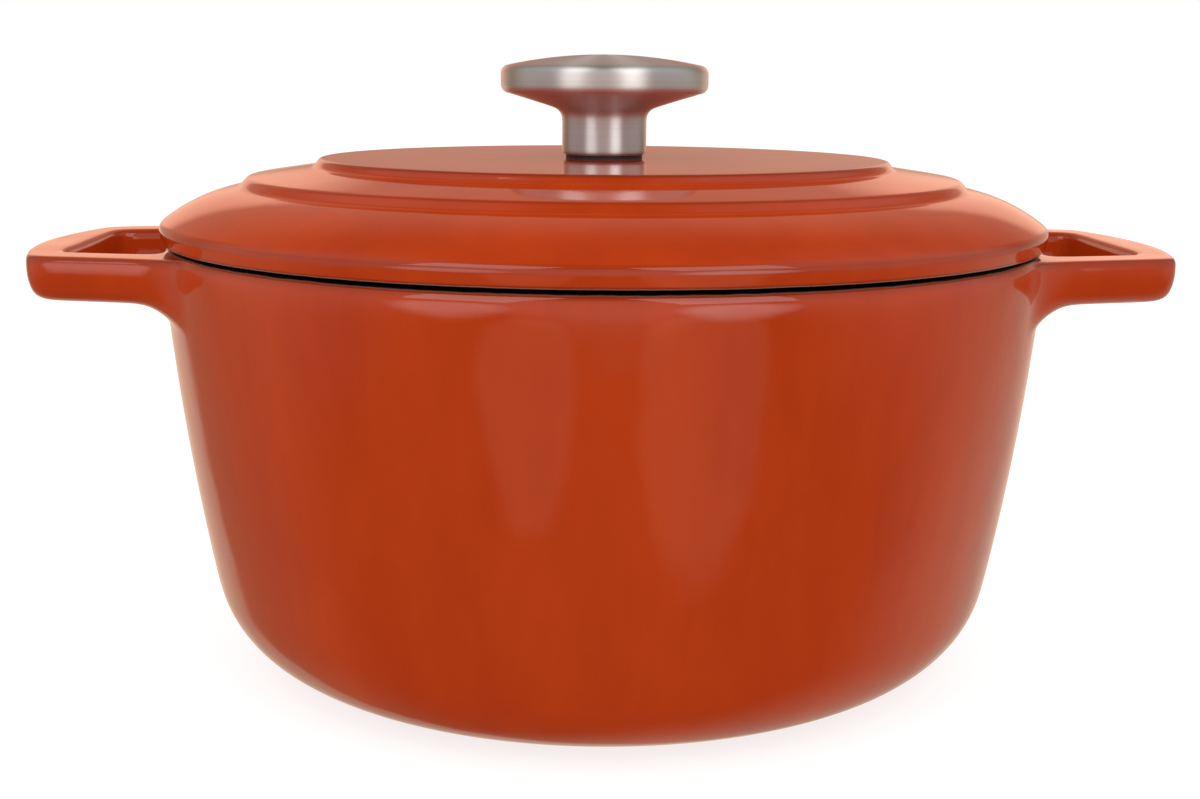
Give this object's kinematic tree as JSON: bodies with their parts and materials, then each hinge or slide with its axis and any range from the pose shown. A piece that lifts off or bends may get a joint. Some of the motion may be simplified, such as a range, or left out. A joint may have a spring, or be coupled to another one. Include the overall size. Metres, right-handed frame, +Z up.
{
  "type": "dutch oven",
  "caption": "Round enamelled cast iron casserole with cast loop handles and a stepped lift-off lid that has a flared steel knob.",
  "frame": {"origin": "middle of the base, in the plane of the foot ring that the pot stands on", "axes": "+Z up along the pot's axis, +X towards one loop handle, +Y at right angles to the handles"},
  "size_m": [0.3216, 0.25, 0.1711],
  "materials": {
    "enamelled_iron": "gloss",
    "brushed_steel": "satin",
    "plated_steel": "satin",
    "silicone": "matte"
  },
  "bodies": {
    "pot": {"pot_body": "enamelled_iron"},
    "lid": {"lid": "enamelled_iron", "knob_cap": "brushed_steel", "knob_body": "brushed_steel", "knob_insert": "plated_steel", "knob_gasket": "silicone", "knob_screw": "plated_steel", "flat_washer": "plated_steel", "spring_washer": "plated_steel"}
  },
  "joints": [
    {"name": "lid_lift", "type": "slide", "parent": "pot", "child": "lid", "axis": [0, 0, 1], "range_m": [0, 0.15]}
  ]
}
